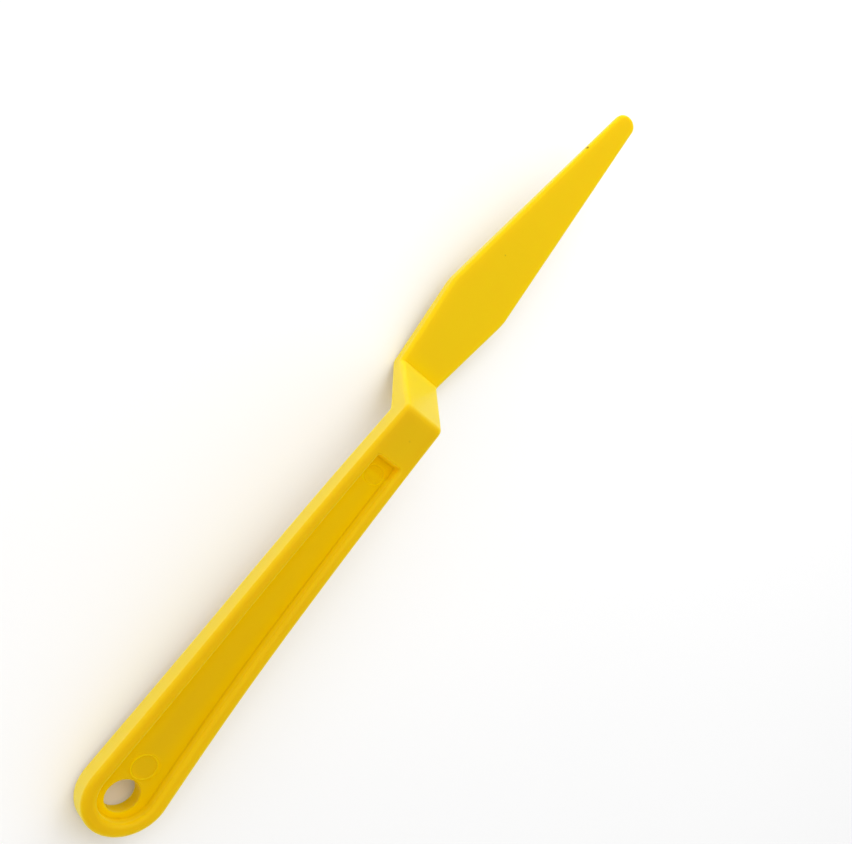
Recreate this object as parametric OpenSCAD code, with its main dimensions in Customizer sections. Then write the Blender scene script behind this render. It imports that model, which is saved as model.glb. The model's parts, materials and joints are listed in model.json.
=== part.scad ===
// Cranked plastic spudger, moulded in one piece.
//
// X runs from the butt to the blade's tip, Y runs across the tool and Z is up.
// The tool is drawn as it lies on a bench: sunk panel up, resting on its butt and its heel.
// The origin is the middle of the hang hole.

/* [Handle] */
// Length of the handle from the hang hole to the edge where the neck drops away
handle_len = 85; // [75:1:100]
// Width of the round butt
butt_w = 14; // [13.4:0.1:16]
// Width that the handle's straight sides would have at the hang hole
grip_back_w = 12.7; // [12:0.1:13.2]
// Width of the handle's front end
grip_front_w = 9.8; // [9:0.1:11]
// Length over which the round butt runs into the straight sides
butt_blend_len = 22; // [15:1:30]
// Distance from the hang hole forward to the centre of the butt's curve
butt_shift = 0.7; // [0:0.1:1.5]
// Thickness of the handle
handle_t = 7.7; // [7:0.1:9]

/* [Sunk panel and hang hole] */
// Width of the raised rim round the panel
rim_w = 2.4; // [2:0.1:2.8]
// Depth of the panel
panel_depth = 2.9; // [2:0.1:3.5]
// Length of the panel from the hang hole to its square end
panel_len = 73.5; // [60:0.5:74]
// Diameter of the hang hole
hole_d = 5.5; // [4:0.1:6]
// Diameter of the round marks that the mould's ejector pins leave
pin_mark_d = 4.5; // [3:0.1:4.6]
// Depth of the ejector-pin marks
pin_mark_depth = 0.12; // [0.05:0.01:0.3]

/* [Neck] */
// Distance that the neck runs forward while it drops
neck_run = 13.2; // [10:0.1:18]
// Height from the handle's top down to the blade's root
neck_drop = 21.8; // [18:0.1:25]
// Distance that the neck's back face starts behind the handle's front edge
neck_back_start = 1.6; // [0:0.1:3]
// Distance that the heel lies behind the blade's root
heel_back = 0.9; // [0:0.1:1.2]
// Radius of the bend over the neck's top edge
top_bend_r = 2.3; // [1.2:0.1:3]
// Radius of the heel under the blade's root
heel_r = 1.6; // [1.2:0.1:3.4]

/* [Blade] */
// Length of the blade from its root to its tip
blade_len = 91.5; // [80:0.5:110]
// Distance from the root to the blade's widest place
shoulder_len = 23; // [18:0.5:30]
// Width of the blade's root
root_w = 11; // [10:0.1:12]
// Width of the blade's widest place
shoulder_w = 16.8; // [14:0.1:20]
// Width of the rounded tip
tip_w = 5.8; // [4.4:0.1:7]
// Thickness of the blade at its root
root_t = 4.7; // [3.8:0.1:4.8]
// Thickness of the blade at its tip
tip_t = 2.6; // [2.4:0.1:3.4]
// Angle by which the blade rises from the line of the handle
blade_rise = 2; // [0:0.1:4]

/* [Edges] */
// Radius of every outer edge
edge_r = 1; // [0.6:0.05:1.1]

/* [Hidden] */

// Places along the tool, measured from the hang hole
root_x = handle_len + neck_run;
shoulder_x = root_x + shoulder_len;
tip_x = root_x + blade_len;
butt_r = butt_w / 2;
tip_r = tip_w / 2;

// The hole's wall runs from the panel's floor to the handle's underside
hole_wall = handle_t - panel_depth;
hole_middle = -panel_depth - hole_wall / 2;
mark_gap = 0.25; // between the hang hole and the first ejector-pin mark
end_gap = 1.5; // between the last ejector-pin mark and the panel's square end
first_mark_x = hole_d / 2 + mark_gap + pin_mark_d / 2;
last_mark_x = panel_len - end_gap - pin_mark_d / 2;

lap = 2; // how far the neck reaches into the handle, and the blade into the neck
cut = 1; // how far a cutting body stands proud of the surface that it cuts
edge_steps = [0 : 30 : 90]; // angles of the steps that make up a rounded edge
least_r = 0.001; // radius of the flat end of a roller that is as thin as its own edge
large_round = 64; // sides of the large circles seen from above
small_round = 32; // sides of the rollers and of the tip

// Lines and corners of the tool seen from the side, as [x, z] with z = 0 at the handle's top

function unit(v) = v / norm(v);

// Half of the angle at b between the lines to a and c
function half_angle(a, b, c) = acos(unit(a - b) * unit(c - b)) / 2;

// Centre of the arc of radius r that rounds corner b
function bend_centre(a, b, c, r) =
    b + unit(unit(a - b) + unit(c - b)) * r / sin(half_angle(a, b, c));

// Point at distance d from a on the way to b
function along(a, b, d) = a + unit(b - a) * d;

// Point on the line from a to b at position x
function at_x(a, b, x) = a + (b - a) * (x - a[0]) / (b[0] - a[0]);

blade_end_z = -neck_drop + blade_len * tan(blade_rise);
butt_top = [-butt_r, 0];
top_edge = [handle_len, 0];
neck_back = [handle_len - neck_back_start, -handle_t];
root = [root_x, -neck_drop];
heel = [root_x - heel_back, -neck_drop - root_t];
tip_top = [tip_x, blade_end_z];
tip_under = [tip_x, blade_end_z - tip_t];

top_bend_centre = bend_centre(butt_top, top_edge, root, top_bend_r);
heel_centre = bend_centre(neck_back, heel, tip_under, heel_r);

// Tilt at which the rounded undersides of the butt and the heel both touch the bench
butt_centre = [butt_shift - butt_r + edge_r, edge_r - handle_t];
contact_span = heel_centre - butt_centre;
rest_tilt = atan2(-contact_span[1], contact_span[0])
    + asin((heel_r - edge_r) / norm(contact_span));

// Width of the handle at a distance x from the hang hole
function grip_w(x) = grip_back_w + (grip_front_w - grip_back_w) * x / handle_len;

// A roller across the tool, with radius r, width w and rounded ends.
// A hull of rollers has every outer edge rounded.
module roller(centre, r, w) {
    for (a = edge_steps)
        translate([centre[0], 0, centre[1]]) rotate([90, 0, 0])
            cylinder(r = r - edge_r * (1 - sin(a)) + least_r, h = w - 2 * edge_r * (1 - cos(a)),
                center = true, $fn = small_round);
}

// A disc with its top in the plane z = 0 and rounded rims
module disc(r, t, sides) {
    for (a = edge_steps)
        translate([0, 0, -t / 2])
            cylinder(r = r - edge_r * (1 - cos(a)), h = t - 2 * edge_r * (1 - sin(a)),
                center = true, $fn = sides);
}

// Two rollers, one under the top surface and one over the underside
module section(top, under, w) {
    roller(top - [0, edge_r], edge_r, w);
    roller(under + [0, edge_r], edge_r, w);
}

// The round butt, as far as the start of the straight sides
module butt() {
    hull() {
        translate([butt_shift, 0, 0]) disc(butt_r, handle_t, large_round);
        section([butt_blend_len, 0], [butt_blend_len, -handle_t], grip_w(butt_blend_len));
    }
}

// The straight part of the handle
module grip() {
    front_top = [top_bend_centre[0], 0];
    hull() {
        section([butt_shift, 0], [butt_shift, -handle_t], grip_w(butt_shift));
        section(front_top, neck_back - [edge_r, 0], grip_front_w);
    }
}

module neck() {
    hull() {
        roller(top_bend_centre, top_bend_r, grip_front_w);
        roller(along(neck_back, heel, -lap) + [edge_r, 0], edge_r, grip_front_w);
        roller(bend_centre(top_edge, root, heel, edge_r), edge_r, root_w);
        roller(heel_centre, heel_r, root_w);
    }
}

module blade() {
    back = root_x + edge_r - lap / 2;
    hull() {
        roller([back, -neck_drop - edge_r], edge_r, root_w);
        roller(at_x(heel, tip_under, heel_centre[0] + edge_r) + [0, edge_r], edge_r, root_w);
        section(at_x(root, tip_top, shoulder_x), at_x(heel, tip_under, shoulder_x), shoulder_w);
        translate([tip_x - tip_r, 0, at_x(root, tip_top, tip_x - tip_r)[1]])
            rotate([0, -blade_rise, 0]) disc(tip_r, tip_t, small_round);
    }
}

// The panel keeps one rim width inside the handle's outline and ends square
module panel_cut() {
    floor_r = butt_r - rim_w;
    stations = [
        [butt_shift, floor_r],
        [butt_blend_len, grip_w(butt_blend_len) / 2 - rim_w],
        [panel_len, grip_w(panel_len) / 2 - rim_w]
    ];
    translate([0, 0, -panel_depth]) linear_extrude(panel_depth + cut) {
        translate([butt_shift, 0]) circle(r = floor_r, $fn = large_round);
        for (side = [-1, 1]) polygon(concat(
            [for (s = stations) [s[0], side * s[1]]],
            [[panel_len, 0], [butt_shift, 0]]
        ));
    }
}

// One shallow round ejector-pin mark on the panel's floor
module pin_mark(x) {
    translate([x, 0, -panel_depth - pin_mark_depth])
        cylinder(d = pin_mark_d, h = pin_mark_depth + cut, $fn = large_round);
}

module hang_hole() {
    translate([0, 0, -handle_t - cut]) cylinder(d = hole_d, h = handle_t + 2 * cut, $fn = large_round);
}

module spudger_body() {
    color([0.93, 0.76, 0.09])
        rotate([0, -rest_tilt, 0]) translate([0, 0, -hole_middle])
            difference() {
                union() {
                    butt();
                    grip();
                    neck();
                    blade();
                }
                panel_cut();
                pin_mark(first_mark_x);
                pin_mark(last_mark_x);
                hang_hole();
            }
}

spudger_body();
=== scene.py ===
"""Looks of a cranked plastic spudger, one yellow injection moulding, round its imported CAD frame.

The moulding is drawn in its handle's own frame, in millimetres: x runs from the hang hole to the
blade's tip, y across the tool and z up, with z = 0 on the handle's top. to_row() carries a point
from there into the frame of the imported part, in metres, where the tool lies on its butt and heel.
"""

import json
import math

import bmesh
import bpy
import numpy as np
from mathutils import Matrix, Vector


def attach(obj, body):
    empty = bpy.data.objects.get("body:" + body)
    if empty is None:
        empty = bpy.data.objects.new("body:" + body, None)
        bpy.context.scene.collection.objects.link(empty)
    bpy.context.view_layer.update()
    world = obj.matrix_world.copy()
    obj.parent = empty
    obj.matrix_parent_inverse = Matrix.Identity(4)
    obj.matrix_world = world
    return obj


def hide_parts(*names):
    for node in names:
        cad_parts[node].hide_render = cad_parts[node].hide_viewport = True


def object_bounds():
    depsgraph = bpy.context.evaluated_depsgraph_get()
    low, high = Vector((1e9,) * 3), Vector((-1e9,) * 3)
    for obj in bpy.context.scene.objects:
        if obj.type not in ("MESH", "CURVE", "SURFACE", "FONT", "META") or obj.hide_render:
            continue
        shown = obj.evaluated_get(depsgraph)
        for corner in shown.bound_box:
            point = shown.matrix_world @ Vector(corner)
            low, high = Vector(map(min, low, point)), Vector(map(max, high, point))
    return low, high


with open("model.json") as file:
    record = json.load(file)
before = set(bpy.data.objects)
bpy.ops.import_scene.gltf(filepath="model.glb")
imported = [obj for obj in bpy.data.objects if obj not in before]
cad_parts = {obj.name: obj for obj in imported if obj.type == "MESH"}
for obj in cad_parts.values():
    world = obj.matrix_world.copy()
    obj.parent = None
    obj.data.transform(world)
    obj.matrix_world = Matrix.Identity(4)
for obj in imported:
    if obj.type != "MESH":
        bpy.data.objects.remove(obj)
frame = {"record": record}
cad_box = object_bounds()

MM = 0.001
hang_hole = next(m for m in frame["record"]["mounts"] if m["name"] == "hang_hole")
hole_axis = Vector(hang_hole["axis"])
REST_TILT = math.atan2(-hole_axis.x, hole_axis.z)  # of the handle, as the tool lies on the bench

# Handle, mm
HANDLE_LEN = 85.0
BUTT_R = 7.0
BUTT_X = 0.7
GRIP_BACK_W = 12.7
GRIP_FRONT_W = 9.8
BUTT_BLEND_LEN = 22.0
HANDLE_T = 7.7
HANDLE_BOW = 0.57  # how far the middle of the moulded handle has warped to the left

# Sunk panel and hang hole, mm
HOLE_R = hang_hole["dims"]["r_mm"]
HOLE_WALL = hang_hole["dims"]["length_mm"]
PANEL_DEPTH = HANDLE_T - HOLE_WALL
HOLE_MIDDLE_Z = -PANEL_DEPTH - HOLE_WALL / 2
PANEL_LEN = 73.5
RIM_W = 2.4
PANEL_CORNER_R = 0.65  # of the outline's corners at the square end
RIM_EDGE_R = 0.85  # of the lip along the panel's sides and round the butt
END_EDGE_R = 0.25  # of the lip over the square end
FLOOR_EDGE_R = 0.35
WALL_DRAFT = 0.06  # how far the wall leans in between its lip and the floor
HOLE_EDGE_R = 0.2

# Round marks of the mould's ejector pins on the panel's floor, mm
MARK_R = 2.25
MARK_GAP = 0.35  # from the hang hole to the first mark
MARK_END_GAP = 1.5  # from the last mark to the square end
MARK_RIDGES = (0.18, 0.06)  # heights of the ridges round the first and the last mark
MARK_SINK = 0.1
RIDGE_INSETS = (0.0, 0.08, 0.18, 0.32, 0.45)  # from a mark's edge over its ridge onto its disc
DISC_RINGS = (0.7, 0.45, 0.2, 0.0)  # of the sunk disc's mesh, as parts of MARK_R

# Neck and blade, mm
NECK_RUN = 13.2
NECK_DROP = 21.8
NECK_BACK_START = 1.6
HEEL_BACK = 0.9
TOP_BEND_R = 2.3
HEEL_R = 1.6
ROOT_FILLET_R = 0.5
BACK_FILLET_R = 0.8
BLADE_LEN = 91.5
SHOULDER_LEN = 23.0
ROOT_W = 11.0
SHOULDER_W = 16.8
TIP_R = 2.9
ROOT_T = 4.7
TIP_T = 2.6
BLADE_RISE = math.radians(2.0)
EDGE_R = 1.0

ROOT_X = HANDLE_LEN + NECK_RUN
SHOULDER_X = ROOT_X + SHOULDER_LEN
TIP_X = ROOT_X + BLADE_LEN

# Mesh density
EDGE_STEPS = 7
BEND_STEPS = 8
NECK_STEPS = 6
ARC_STEPS = 26
TIP_STEPS = 14
CORNER_STEPS = 6
COLUMNS = 10
RIM_COLUMNS = 2
SIDE_ROWS = 4
FILL_RINGS = 3
SLOPE_STEP = 0.01  # mm to either side, between which an outline's slope is measured
WELD_DIST = 1e-6  # m

# Colours of the plastic, with painted light: a paler blade, a grazing sheen, bounce light, an end
# shadow and a glow
BODY_DARK = (0.66, 0.415, 0.0, 1)
BODY_LIGHT = (0.70, 0.455, 0.0, 1)
# Painted light: the blade is painted paler than the handle, as it lies nearer the light at its tip
# end
BLADE_LIT_COLOUR = (0.765, 0.53, 0.0, 1)
# Painted sheen, mixed in where a face is seen at a grazing angle
GRAZING_SHEEN_COLOUR = (0.735, 0.575, 0.03, 1)
# Painted bounce light in the sunk panel, from its back to its front, and a painted shadow by its
# square end
PANEL_BACK_BOUNCE_COLOUR = (0.75, 0.465, 0.0, 1)
PANEL_FRONT_BOUNCE_COLOUR = (0.80, 0.53, 0.0, 1)
PANEL_END_SHADOW_COLOUR = (0.76, 0.43, 0.0, 1)
SPECK_COLOUR = (0.10, 0.06, 0.01, 1)
# Painted glow where the moulding hides the sky, as inside the sunk panel
PAINTED_GLOW_COLOUR = (1.0, 0.85, 0.0, 1)
PAINTED_GLOW_STRENGTH = 0.16  # strength of the painted glow inside the sunk panel, which stands for light scattered in the plastic

# Dark specks in the plastic, as (place in mm, radius in mm, darkness)
SPECKS = [
    ((79.0, -0.3, 0.0), 0.3, 0.15),
    ((134.6, 2.5, -20.5), 0.28, 0.3),
    ((173.3, 4.0, -19.8), 0.6, 0.8),
]

# Stage
WHITE = (1, 1, 1, 1)
FLOOR_GREY = 0.9
FLOOR_HALF = 3.0  # half of the floor's side, m
SURROUND = 0.8  # brightness of the even light from all round

# Lights as (name, place from the tool's middle in m, width and height in m, power in W)
LIGHTS = [
    ("tip_light", (0.4, 0.05, 0.22), (0.3, 0.3), 0.6),
    ("side_light", (0.1, 1.5, 0.15), (1.25, 0.3), 6.0),
    ("top_light", (0.1, 0.12, 0.6), (0.5, 0.5), 1.0),
]

# Camera, m
EYE = Vector((-0.0098, 0.0731, 0.2140))
AXIS_MEETS_BENCH = Vector((0.1867, -0.1070, 0.0))
ROLL = math.radians(78.57)
SENSOR_MM = 36.0
LENS_MM = 42.255
SHIFT_X = -0.4276
SHIFT_Y = -0.0423
CLIP_START = 0.005


def unit(v):
    """v scaled to length 1."""
    return np.asarray(v, float) / np.linalg.norm(v)


def to_row(points):
    """Points from the handle's frame in mm to the row frame in metres."""
    c, s = math.cos(REST_TILT), math.sin(REST_TILT)
    p = np.array(points, float)
    along = np.clip(p[:, 0] / HANDLE_LEN, 0, 1)
    bow = 4 * HANDLE_BOW * along * (1 - along)
    x, y, z = p[:, 0], p[:, 1] + bow, p[:, 2] - HOLE_MIDDLE_Z
    moved = np.stack([x * c - z * s, y, x * s + z * c], 1) * MM
    return moved + np.array(hang_hole["pos_m"])


# ---- Outlines ----------------------------------------------------------------------------------


def tangent_point(centre_x, radius, corner, side):
    """Where the line from a corner touches a circle on the x axis. side is +1 or -1."""
    away = np.array([corner[0] - centre_x, corner[1]])
    angle = math.atan2(away[1], away[0]) + side * math.acos(radius / np.linalg.norm(away))
    return angle, np.array([centre_x + radius * math.cos(angle), radius * math.sin(angle)])


def grip_half_w(x):
    """Half width of the handle's straight sides."""
    return (GRIP_BACK_W + (GRIP_FRONT_W - GRIP_BACK_W) * x / HANDLE_LEN) / 2


BLEND_CORNER = (BUTT_BLEND_LEN, grip_half_w(BUTT_BLEND_LEN))
SHOULDER_CORNER = (SHOULDER_X, SHOULDER_W / 2)
BUTT_ANGLE, BUTT_TOUCH = tangent_point(BUTT_X, BUTT_R, BLEND_CORNER, 1)
TIP_ANGLE, TIP_TOUCH = tangent_point(TIP_X - TIP_R, TIP_R, SHOULDER_CORNER, -1)

# Corners of the plan outline as (x, half width, half length over which the side bends there)
PLAN = [
    (*BUTT_TOUCH, 0.0),
    (*BLEND_CORNER, 14.0),
    (HANDLE_LEN, GRIP_FRONT_W / 2, 0.6),
    (ROOT_X, ROOT_W / 2, 2.0),
    (*SHOULDER_CORNER, 1.6),
    (*TIP_TOUCH, 0.0),
]


def ramp(u, soft):
    """A line that starts at u = 0, with its corner softened over plus and minus soft."""
    if u <= -soft:
        return 0.0
    return u if u >= soft else (u + soft) ** 2 / (4 * soft)


def half_width(x):
    """Half width of the plan outline between the rounded butt and the rounded tip."""
    slopes = [(b[1] - a[1]) / (b[0] - a[0]) for a, b in zip(PLAN, PLAN[1:])]
    y = PLAN[0][1] + slopes[0] * (x - PLAN[0][0])
    for corner, before, after in zip(PLAN[1:], slopes, slopes[1:]):
        y += (after - before) * ramp(x - corner[0], corner[2])
    return y


def side_normal(x):
    """Outward normal of the left side at x, in plan."""
    rise = half_width(x + SLOPE_STEP) - half_width(x - SLOPE_STEP)
    return unit([-rise / (2 * SLOPE_STEP), 1.0])


def bend(a, b, c, radius, steps, up):
    """Rounded corner b as (point, outward normal) pairs. up is the sign of the normals' z."""
    a, b, c = (np.array(p, float) for p in (a, b, c))
    to_a, to_c = unit(a - b), unit(c - b)
    half = math.acos(float(to_a @ to_c)) / 2
    centre = b + unit(to_a + to_c) * radius / math.sin(half)
    start = b + to_a * radius / math.tan(half) - centre
    end = b + to_c * radius / math.tan(half) - centre
    turn = math.atan2(start[0] * end[1] - start[1] * end[0], float(start @ end))
    first = math.atan2(start[1], start[0])
    out = []
    for i in range(steps + 1):
        angle = first + turn * i / steps
        away = np.array([math.cos(angle), math.sin(angle)])
        normal = away if start[1] * up > 0 else -away
        out.append((centre + radius * away, normal))
    return out


def straight(a, b, steps, up):
    """Points inside the line from a to b with its normal, both ends left out."""
    a, b = np.array(a, float), np.array(b, float)
    d = unit(b - a)
    normal = np.array([-d[1], d[0]]) * (1 if d[0] * up > 0 else -1)
    return [(a + (b - a) * i / steps, normal) for i in range(1, steps)]


def line_at(a, b, x):
    """Point on the line from a to b at position x."""
    a, b = np.array(a, float), np.array(b, float)
    return a + (b - a) * (x - a[0]) / (b[0] - a[0])


# Side view: corners of the top line and of the under line, as (x, z)
BLADE_END_Z = -NECK_DROP + BLADE_LEN * math.tan(BLADE_RISE)
TOP_LINE = [(-BUTT_R, 0), (HANDLE_LEN, 0), (ROOT_X, -NECK_DROP), (TIP_X, BLADE_END_Z)]
UNDER_LINE = [
    (-BUTT_R, -HANDLE_T),
    (HANDLE_LEN - NECK_BACK_START, -HANDLE_T),
    (ROOT_X - HEEL_BACK, -NECK_DROP - ROOT_T),
    (TIP_X, BLADE_END_Z - TIP_T),
]
ON_HANDLE, ON_BLADE = 0, 2  # which stretch of those lines belongs to the handle and to the blade


def neck_line(line, radii, up):
    """One line of the side view from the handle's end over both bends to the blade's root."""
    first = bend(line[0], line[1], line[2], radii[0], BEND_STEPS, up)
    second = bend(line[1], line[2], line[3], radii[1], BEND_STEPS, up)
    return first + straight(first[-1][0], second[0][0], NECK_STEPS, up) + second


def flat_pair(x, part):
    """Top and under points with normals at x. part is ON_HANDLE or ON_BLADE."""
    pair = []
    for line, up in ((TOP_LINE, 1), (UNDER_LINE, -1)):
        a, b = line[part], line[part + 1]
        pair.append((line_at(a, b, x), straight(a, b, 2, up)[0][1]))
    return pair


def quarter_turn():
    """The angles over which a rounded edge is drawn."""
    return [math.pi / 2 * i / EDGE_STEPS for i in range(EDGE_STEPS + 1)]


class Station:
    """One rib of the moulding's left edge, with the sharp edges that its fillets round off."""

    def __init__(self, top, under, plan_point=None, plan_normal=None):
        self.edges = []
        for point, normal in (top, under):
            x = point[0]
            y = half_width(x) if plan_point is None else plan_point[1]
            side = side_normal(x) if plan_normal is None else np.array(plan_normal)
            face = np.array([normal[0], 0.0, normal[1]])
            out = np.array([side[0], side[1], 0.0])
            out = unit(out - (out @ face) * face)
            self.edges.append((np.array([x, y, point[1]]), out, face))

    def flat_end(self, which):
        """Where the top (0) or the underside (1) meets the rounded edge."""
        corner, out, _ = self.edges[which]
        return corner - EDGE_R * out

    def inward(self, distance):
        """Point on the top plane at a distance inside the outline."""
        corner, out, _ = self.edges[0]
        return corner - distance * out

    def rib(self):
        """The rounded top edge, the side wall and the rounded under edge, as points."""
        arcs = []
        for corner, out, face in self.edges:
            centre = corner - EDGE_R * out - EDGE_R * face
            arcs.append([centre + EDGE_R * (math.sin(a) * out + math.cos(a) * face)
                         for a in quarter_turn()])
        top_arc, under_arc = arcs[0], arcs[1][::-1]
        a, b = top_arc[-1], under_arc[0]
        wall = [a + (b - a) * i / SIDE_ROWS for i in range(1, SIDE_ROWS)]
        return top_arc + wall + under_arc


def spaced(a, b, pitch):
    """Even positions from a up to b, b left out."""
    count = max(1, round((b - a) / pitch))
    return [a + (b - a) * i / count for i in range(count)]


def arc_station(centre_x, radius, angle, part):
    """A station on the rounded butt or tip."""
    x = centre_x + radius * math.cos(angle)
    y = radius * math.sin(angle)
    top, under = flat_pair(x, part)
    return Station(top, under, (x, y), (math.cos(angle), math.sin(angle)))


# Middles of the two marks, and positions along the panel where a row of the mesh has to lie:
# between the hole and the first mark, past the first mark, and on both sides of the last mark
MARK_XS = (HOLE_R + MARK_GAP + MARK_R, PANEL_LEN - MARK_END_GAP - MARK_R)
HOLE_ROW = (HOLE_R + HOLE_EDGE_R + HOLE_R + MARK_GAP) / 2
FIRST_MARK_ROW = 2 * MARK_XS[0] - HOLE_ROW + 0.2
LAST_MARK_ROWS = (MARK_XS[1] - MARK_R - 0.3, MARK_XS[1] + MARK_R + 0.3)
CORNER_ROW = PANEL_LEN - PANEL_CORNER_R

# Stretches of the panel as (name of the row at the far end, start, end, pitch of the ribs)
PANEL_STRETCHES = [
    ("hole", BUTT_TOUCH[0], HOLE_ROW, 1.0),
    ("first_mark_end", HOLE_ROW, FIRST_MARK_ROW, 0.8),
    ("last_mark", FIRST_MARK_ROW, LAST_MARK_ROWS[0], 2.5),
    ("last_mark_end", LAST_MARK_ROWS[0], LAST_MARK_ROWS[1], 0.8),
    ("corner", LAST_MARK_ROWS[1], CORNER_ROW, 0.8),
]
PAST_PANEL = 1.5  # from the panel's end to the next rib
BEFORE_NECK = 1.0  # from the last rib of the handle to its back edge
PAST_ROOT = 0.8  # from the neck's last rib to the blade's first
SHOULDER_REACH = 2.4  # to either side of the shoulder, where ribs lie close together


def left_stations():
    """All stations of the left edge from the butt's end to the tip, and the rows' indices."""
    stations, rows = [], {}
    for i in range(ARC_STEPS):
        angle = math.pi + (BUTT_ANGLE - math.pi) * i / ARC_STEPS
        stations.append(arc_station(BUTT_X, BUTT_R, angle, ON_HANDLE))

    def add_ribs(xs, part):
        stations.extend(Station(*flat_pair(x, part)) for x in xs)

    for name, start, end, pitch in PANEL_STRETCHES:
        add_ribs(spaced(start, end, pitch), ON_HANDLE)
        rows[name] = len(stations)
    handle_end = HANDLE_LEN - NECK_BACK_START - BEFORE_NECK
    add_ribs([CORNER_ROW] + spaced(PANEL_LEN + PAST_PANEL, handle_end, 2.0), ON_HANDLE)

    top = neck_line(TOP_LINE, (TOP_BEND_R, ROOT_FILLET_R), 1)
    under = neck_line(UNDER_LINE, (BACK_FILLET_R, HEEL_R), -1)
    stations.extend(Station(t, u) for t, u in zip(top, under))

    blade_start = under[-1][0][0] + PAST_ROOT
    shoulder_start, shoulder_end = SHOULDER_X - SHOULDER_REACH, SHOULDER_X + SHOULDER_REACH
    add_ribs(spaced(blade_start, shoulder_start, 2.0), ON_BLADE)
    add_ribs(spaced(shoulder_start, shoulder_end, 0.4), ON_BLADE)
    add_ribs(spaced(shoulder_end, TIP_TOUCH[0], 2.5), ON_BLADE)
    for i in range(TIP_STEPS + 1):
        angle = TIP_ANGLE * (1 - i / TIP_STEPS)
        stations.append(arc_station(TIP_X - TIP_R, TIP_R, angle, ON_BLADE))
    return stations, rows


# ---- Mesh --------------------------------------------------------------------------------------


def between(a, b, steps):
    """Points from a to b, both ends included."""
    a, b = np.asarray(a, float), np.asarray(b, float)
    return [a + (b - a) * i / steps for i in range(steps + 1)]


def mirror(p):
    """The point on the tool's other side."""
    return np.asarray(p, float) * (1, -1, 1)


def across(p, columns=COLUMNS):
    """A row of points from p to its mirror image."""
    return between(p, mirror(p), columns)


class Skin:
    """Collects faces as points; shared points are welded at the end."""

    def __init__(self):
        self.points = []
        self.faces = []

    def grid(self, rows):
        """Quads over a list of rows of points, all with the same number of points."""
        start, width = len(self.points), len(rows[0])
        for row in rows:
            self.points.extend(np.asarray(p, float) for p in row)
        for r in range(len(rows) - 1):
            for c in range(width - 1):
                a = start + r * width + c
                self.faces.append((a, a + 1, a + width + 1, a + width))

    def both_sides(self, rows):
        """A grid and its mirror image on the tool's other side."""
        self.grid(rows)
        self.grid([[mirror(p) for p in row] for row in rows])

    def to_object(self, name):
        """Welds the points, turns the faces outwards and makes the object."""
        bm = bmesh.new()
        verts = [bm.verts.new(p) for p in to_row(self.points)]
        for face in self.faces:
            bm.faces.new([verts[i] for i in face])
        bmesh.ops.remove_doubles(bm, verts=bm.verts, dist=WELD_DIST)
        bmesh.ops.dissolve_degenerate(bm, edges=bm.edges, dist=WELD_DIST)
        bmesh.ops.recalc_face_normals(bm, faces=bm.faces)
        open_edges = [e for e in bm.edges if len(e.link_faces) != 2]
        if open_edges:
            raise RuntimeError(f"{name} has {len(open_edges)} open edges")
        mesh = bpy.data.meshes.new(name)
        bm.to_mesh(mesh)
        bm.free()
        mesh.shade_smooth()
        obj = bpy.data.objects.new(name, mesh)
        bpy.context.scene.collection.objects.link(obj)
        return obj


def fill_between(skin, outer, inner):
    """Quads between two closed loops with the same number of points."""
    rows = [between(a, b, FILL_RINGS) for a, b in zip(outer, inner)]
    skin.grid(rows + rows[:1])


def ring_patch(skin, boundary, centre, radius):
    """Fills between a closed boundary and a circle, and returns the circle's points."""
    z = boundary[0][2]
    angles = [math.atan2(p[1], p[0] - centre) for p in boundary]
    circle = [np.array([centre + radius * math.cos(a), radius * math.sin(a), z]) for a in angles]
    fill_between(skin, boundary, circle)
    return circle


def swept_circle(skin, circle, centre, profile):
    """Sweeps (radius, z) pairs round a circle's points and returns the last loop."""
    base = [unit([p[0] - centre, p[1]]) for p in circle]
    rows = [[np.array([centre + r * d[0], r * d[1], z]) for r, z in profile] for d in base]
    skin.grid(rows + rows[:1])
    return [row[-1] for row in rows]


def strip_loop(side, first_row, last_row):
    """Closed loop round a strip of the panel: across it, its right side, back and its left."""
    loop = list(first_row[:-1])
    loop += [mirror(p) for p in side[:-1]]
    loop += list(last_row[::-1][:-1])
    loop += list(side[::-1][:-1])
    return loop


def butt_loop(points, hole_row):
    """Closed loop of a flat face round the butt, closed by the row past the hang hole."""
    back = points[:hole_row + 1]
    return list(back[:-1]) + across(back[-1])[:-1] + [mirror(p) for p in back[:0:-1]]


def panel_profile(lip_r):
    """Section of the panel's wall as (distance inside the panel's outline, z)."""
    lip = [(-lip_r * (1 - math.sin(a)), -lip_r * (1 - math.cos(a))) for a in quarter_turn()]
    foot = [(WALL_DRAFT + FLOOR_EDGE_R * (1 - math.cos(a)),
             -PANEL_DEPTH + FLOOR_EDGE_R * (1 - math.sin(a))) for a in quarter_turn()]
    return lip + foot


def panel_outline(stations, corner):
    """Left half of the panel's outline, as (point, outward normal, lip radius) from the butt."""
    side = [(s.inward(RIM_W), s.edges[0][1], RIM_EDGE_R) for s in stations[:corner + 1]]
    last, normal, _ = side[-1]
    centre = last - PANEL_CORNER_R * normal
    first_angle = math.atan2(normal[1], normal[0])
    for i in range(1, CORNER_STEPS + 1):
        angle = first_angle * (1 - i / CORNER_STEPS)
        away = np.array([math.cos(angle), math.sin(angle), 0.0])
        lip_r = RIM_EDGE_R + (END_EDGE_R - RIM_EDGE_R) * i / CORNER_STEPS
        side.append((centre + PANEL_CORNER_R * away, away, lip_r))
    end = side[-1][0]
    half = COLUMNS // 2
    for i in range(1, half + 1):
        side.append((end * (1, 1 - i / half, 1), np.array([1.0, 0.0, 0.0]), END_EDGE_R))
    return side


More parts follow.
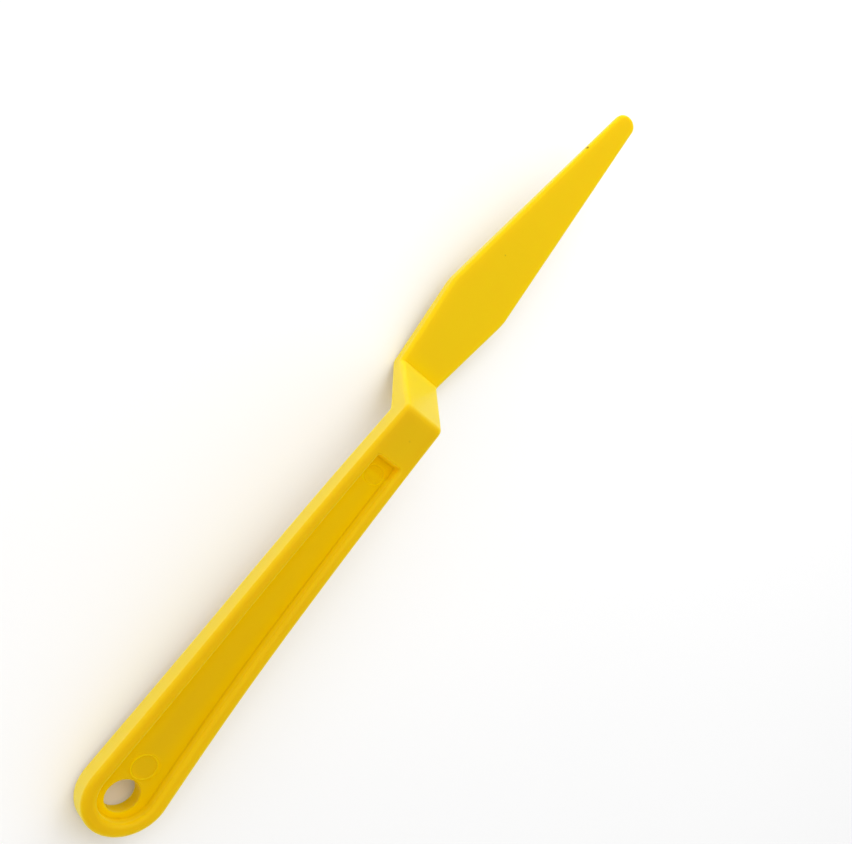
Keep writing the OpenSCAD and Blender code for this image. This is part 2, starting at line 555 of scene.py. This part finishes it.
def rim_and_wall(skin, stations, corner):
    """The rim's flat top and the panel's wall with its lip and foot. Returns the wall's rows."""
    skin.both_sides([between(s.flat_end(0), s.inward(RIM_W - RIM_EDGE_R), RIM_COLUMNS)
                     for s in stations[:corner + 1]])
    wall = [[q - d * out + np.array([0, 0, z]) for d, z in panel_profile(lip_r)]
            for q, out, lip_r in panel_outline(stations, corner)]
    skin.both_sides(wall)
    return wall


def front_top(skin, stations, corner, wall):
    """The top from the panel's end over the neck to the tip."""
    lip_row = [row[0] for row in wall[corner:]]
    half_row = between(stations[corner].flat_end(0), lip_row[0], RIM_COLUMNS)[:-1] + lip_row
    first_row = half_row + [mirror(p) for p in half_row[::-1][1:]]
    width = len(first_row) - 1
    skin.grid([first_row] + [across(s.flat_end(0), width) for s in stations[corner + 1:]])


def pin_mark(skin, circle, centre, height):
    """The faint ridge and sunk disc that an ejector pin leaves."""
    rises = (0.0, height, height, -MARK_SINK, -MARK_SINK)
    ridge = [(MARK_R - inset, -PANEL_DEPTH + rise) for inset, rise in zip(RIDGE_INSETS, rises)]
    disc = [(MARK_R * k, -PANEL_DEPTH - MARK_SINK) for k in DISC_RINGS]
    swept_circle(skin, circle, centre, ridge + disc)


def panel_floor(skin, foot, rows):
    """The panel's floor past the hang hole, with its two marks."""
    first_end = rows["first_mark_end"]
    last, last_end = rows["last_mark"], rows["last_mark_end"]
    floor_end = len(foot) - COLUMNS // 2
    skin.grid([across(p) for p in foot[first_end:last + 1]])
    skin.grid([across(p) for p in foot[last_end:floor_end]])
    mark_rows = ((rows["hole"], first_end), (last, last_end))
    for centre, (a, b), height in zip(MARK_XS, mark_rows, MARK_RIDGES):
        loop = strip_loop(foot[a:b + 1], across(foot[a]), across(foot[b]))
        pin_mark(skin, ring_patch(skin, loop, centre, MARK_R), centre, height)


def butt_and_hole(skin, foot, under, hole_row):
    """The floor round the hang hole, the hole with its rounded lips, and the butt's underside."""
    rim_r = HOLE_R + HOLE_EDGE_R
    lip = [(rim_r - HOLE_EDGE_R * math.sin(a), HOLE_EDGE_R * (1 - math.cos(a)))
           for a in quarter_turn()]
    hole = [(r, -PANEL_DEPTH - d) for r, d in lip]
    hole += [(r, -HANDLE_T + d) for r, d in lip[::-1]]
    top_circle = ring_patch(skin, butt_loop(foot, hole_row), 0.0, rim_r)
    under_circle = swept_circle(skin, top_circle, 0.0, hole)
    fill_between(skin, butt_loop(under, hole_row), under_circle)


def build_moulding():
    """The whole spudger as one closed skin."""
    skin = Skin()
    stations, rows = left_stations()
    skin.both_sides([s.rib() for s in stations])
    wall = rim_and_wall(skin, stations, rows["corner"])
    front_top(skin, stations, rows["corner"], wall)
    foot = [row[-1] for row in wall]
    under = [s.flat_end(1) for s in stations]
    panel_floor(skin, foot, rows)
    butt_and_hole(skin, foot, under, rows["hole"])
    skin.grid([across(p) for p in under[rows["hole"]:]])
    return skin.to_object("spudger_moulding")


# ---- Materials ---------------------------------------------------------------------------------


def new_material(name):
    """A material with empty nodes, and its tree."""
    material = bpy.data.materials.new(name)
    material.use_nodes = True
    tree = material.node_tree
    tree.nodes.clear()
    return material, tree


def add(tree, kind, inputs=None, **settings):
    """Adds a node, sets its attributes and connects or sets its inputs."""
    node = tree.nodes.new(kind)
    for key, value in settings.items():
        setattr(node, key, value)
    for key, value in (inputs or {}).items():
        if isinstance(value, bpy.types.NodeSocket):
            tree.links.new(value, node.inputs[key])
        else:
            node.inputs[key].default_value = value
    return node


def maths(tree, operation, a, b=0.0):
    """One maths node's output."""
    return add(tree, "ShaderNodeMath", {0: a, 1: b}, operation=operation).outputs[0]


def noise(tree, vector, scale, detail):
    """A noise texture's grey output."""
    node = add(tree, "ShaderNodeTexNoise", {"Vector": vector, "Scale": scale, "Detail": detail})
    return node.outputs["Fac"]


def remap(tree, value, low, high, out_low, out_high):
    """value mapped from one range to another, held at both ends."""
    node = add(tree, "ShaderNodeMapRange",
               {"Value": value, "From Min": low, "From Max": high,
                "To Min": out_low, "To Max": out_high})
    return node.outputs["Result"]


def mix_colour(tree, factor, a, b):
    """A colour mixed from a to b. A colour mix has its inputs at 0, 6 and 7, its output at 2."""
    return add(tree, "ShaderNodeMix", {0: factor, 6: a, 7: b}, data_type="RGBA").outputs[2]


def tool_place(tree):
    """The point being shaded, in the handle's frame in mm."""
    place = add(tree, "ShaderNodeTexCoord").outputs["Object"]
    from_hole = add(tree, "ShaderNodeVectorMath", {0: place, 1: tuple(hang_hole["pos_m"])},
                    operation="SUBTRACT").outputs[0]
    turned = add(tree, "ShaderNodeMapping", {
        "Vector": from_hole,
        "Location": (0, 0, HOLE_MIDDLE_Z),
        "Rotation": (0, REST_TILT, 0),
        "Scale": (1 / MM, 1 / MM, 1 / MM),
    })
    return turned.outputs["Vector"]


def specks(tree, place):
    """How dark the specks in the plastic make the point, from 0 to 1."""
    total = 0.0
    for centre, radius, darkness in SPECKS:
        away = add(tree, "ShaderNodeVectorMath", {0: place, 1: centre}, operation="DISTANCE")
        dot = remap(tree, away.outputs["Value"], 0.4 * radius, radius, darkness, 0.0)
        total = maths(tree, "MAXIMUM", total, dot)
    return total


def open_colour(tree, place, along):
    """Colour of the plastic outside the panel: flow marks, the blade painted paler for the light at
    its end, and a painted sheen where faces are seen at a grazing angle.
    """
    stretched = add(tree, "ShaderNodeMapping", {"Vector": place, "Scale": (0.25, 1.0, 1.0)})
    flow = noise(tree, stretched.outputs["Vector"], 0.09, 3.0)
    body = mix_colour(tree, remap(tree, flow, 0.35, 0.65, 0.0, 1.0), BODY_DARK, BODY_LIGHT)
    # Painted light: the neck and blade are painted paler towards the tip end
    on_blade = remap(tree, along, HANDLE_LEN, ROOT_X, 0.0, 1.0)
    body = mix_colour(tree, on_blade, body, BLADE_LIT_COLOUR)
    # Painted sheen: faces seen at a grazing angle are painted a paler lemon
    facing = add(tree, "ShaderNodeLayerWeight", {"Blend": 0.5}).outputs["Facing"]
    return mix_colour(tree, remap(tree, facing, 0.3, 0.9, 0.0, 1.0), body, GRAZING_SHEEN_COLOUR)


def panel_painted_light(tree, along):
    """Painted light inside the sunk panel: a warm painted bounce light, paler towards its front,
    and a painted shadow by its square end.
    """
    forward = remap(tree, along, 15.0, 70.0, 0.0, 1.0)
    warm = mix_colour(tree, forward, PANEL_BACK_BOUNCE_COLOUR, PANEL_FRONT_BOUNCE_COLOUR)
    # Painted shadow of the square end wall, on the floor and wall close to it
    from_end = maths(tree, "ABSOLUTE", maths(tree, "SUBTRACT", along, PANEL_LEN - 1.0))
    return mix_colour(tree, remap(tree, from_end, 1.9, 2.5, 1.0, 0.0), warm, PANEL_END_SHADOW_COLOUR)


def yellow_plastic():
    """Satin yellow moulded plastic with flow marks and specks, and painted light: a painted glow
    and bounce light where it is sunk, a painted shadow by the panel's end, a paler blade and a
    grazing sheen.
    """
    material, tree = new_material("yellow_plastic")
    place = tool_place(tree)
    along = add(tree, "ShaderNodeSeparateXYZ", {0: place}).outputs["X"]

    # Mask of the painted light: how much the moulding itself hides the sky, as inside the panel.
    # There the colour is painted warmer, the highlights are damped and the plastic is given a
    # painted glow.
    sky = add(tree, "ShaderNodeAmbientOcclusion", {"Distance": 5 * MM}, only_local=True, samples=8)
    painted_light_mask = remap(tree, sky.outputs["AO"], 0.4, 1.0, 1.0, 0.0)
    body = mix_colour(tree, painted_light_mask, open_colour(tree, place, along), panel_painted_light(tree, along))
    colour = mix_colour(tree, specks(tree, place), body, SPECK_COLOUR)

    shader = add(tree, "ShaderNodeBsdfPrincipled", {
        "Base Color": colour,
        "Roughness": 0.4,
        "IOR": 1.18,
        "Specular IOR Level": remap(tree, painted_light_mask, 0.0, 0.6, 0.5, 0.0),
        "Subsurface Weight": 0.8,
        "Subsurface Radius": (1.0, 0.85, 0.15),
        "Subsurface Scale": 3 * MM,
        # Painted glow: the sunk panel gives off light of its own
        "Emission Color": PAINTED_GLOW_COLOUR,
        "Emission Strength": maths(tree, "MULTIPLY", painted_light_mask, PAINTED_GLOW_STRENGTH),
    })
    peel = noise(tree, place, 0.9, 2.0)
    bump = add(tree, "ShaderNodeBump", {"Height": peel, "Strength": 0.06, "Distance": 0.2 * MM})
    tree.links.new(bump.outputs["Normal"], shader.inputs["Normal"])
    add(tree, "ShaderNodeOutputMaterial", {"Surface": shader.outputs[0]})
    return material


def floor_paper():
    """Plain pale matt paper."""
    material, tree = new_material("floor_paper")
    shader = add(tree, "ShaderNodeBsdfPrincipled", {
        "Base Color": (FLOOR_GREY, FLOOR_GREY, FLOOR_GREY, 1),
        "Roughness": 0.8,
        "Specular IOR Level": 0.2,
    })
    add(tree, "ShaderNodeOutputMaterial", {"Surface": shader.outputs[0]})
    return material


# ---- Stage, light and camera -------------------------------------------------------------------


def lay_floor():
    """A wide pale floor just under the tool."""
    z = cad_box[0][2]
    mesh = bpy.data.meshes.new("floor")
    corners = [(sx * FLOOR_HALF, sy * FLOOR_HALF, z)
               for sx, sy in ((-1, -1), (1, -1), (1, 1), (-1, 1))]
    mesh.from_pydata(corners, [], [(0, 1, 2, 3)])
    floor = bpy.data.objects.new("floor", mesh)
    bpy.context.scene.collection.objects.link(floor)
    mesh.materials.append(floor_paper())


def area_light(name, place, aim, size, power):
    """A soft light of the given width and height at place, facing aim."""
    data = bpy.data.lights.new(name, "AREA")
    data.shape = "RECTANGLE"
    data.size, data.size_y = size
    data.energy = power
    light = bpy.data.objects.new(name, data)
    light.location = place
    light.rotation_euler = (aim - place).to_track_quat("-Z", "Y").to_euler()
    bpy.context.scene.collection.objects.link(light)


def pale_surround():
    """An even white surround, seen a little darker so that it meets the far floor's tone."""
    world = bpy.data.worlds.new("surround")
    world.use_nodes = True
    tree = world.node_tree
    tree.nodes.clear()
    lit = add(tree, "ShaderNodeBackground", {"Color": WHITE, "Strength": SURROUND})
    seen = add(tree, "ShaderNodeBackground", {"Color": WHITE, "Strength": SURROUND * FLOOR_GREY})
    camera_ray = add(tree, "ShaderNodeLightPath").outputs["Is Camera Ray"]
    mixed = add(tree, "ShaderNodeMixShader", {0: camera_ray, 1: lit.outputs[0], 2: seen.outputs[0]})
    add(tree, "ShaderNodeOutputWorld", {"Surface": mixed.outputs[0]})
    return world


def light_stage():
    """Soft studio light from the blade's end and the left, over an even pale surround."""
    middle = (Vector(cad_box[0]) + Vector(cad_box[1])) / 2
    for name, offset, size, power in LIGHTS:
        area_light(name, middle + Vector(offset), middle, size, power)
    bpy.context.scene.world = pale_surround()
    bpy.context.scene.view_settings.view_transform = "Standard"


def shift_at_eye(camera, name, amount):
    """Shifts the lens while the camera stands at its own eye point, so other views stay centred."""
    driver = camera.data.driver_add(name).driver
    place = driver.variables.new()
    place.name = "x"
    place.type = "TRANSFORMS"
    place.targets[0].id = camera
    place.targets[0].transform_type = "LOC_X"
    place.targets[0].transform_space = "WORLD_SPACE"
    driver.expression = f"{amount} if abs(x - {EYE.x:.5f}) < 0.001 else 0.0"


def place_camera():
    """A close hand-held view from behind and to the left of the handle."""
    data = bpy.data.cameras.new("view")
    data.sensor_width = SENSOR_MM
    data.lens = LENS_MM
    data.clip_start = CLIP_START
    camera = bpy.data.objects.new("view", data)
    look = (AXIS_MEETS_BENCH - EYE).to_track_quat("-Z", "Y").to_matrix().to_4x4()
    camera.matrix_world = Matrix.Translation(EYE) @ look @ Matrix.Rotation(ROLL, 4, "Z")
    bpy.context.scene.collection.objects.link(camera)
    bpy.context.scene.camera = camera
    shift_at_eye(camera, "shift_x", SHIFT_X)
    shift_at_eye(camera, "shift_y", SHIFT_Y)


spudger = build_moulding()
spudger.data.materials.append(yellow_plastic())
flat_faces = spudger.modifiers.new("flat_faces", "WEIGHTED_NORMAL")
flat_faces.weight = 100
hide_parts("spudger_body")
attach(spudger, "root")
lay_floor()
light_stage()
place_camera()
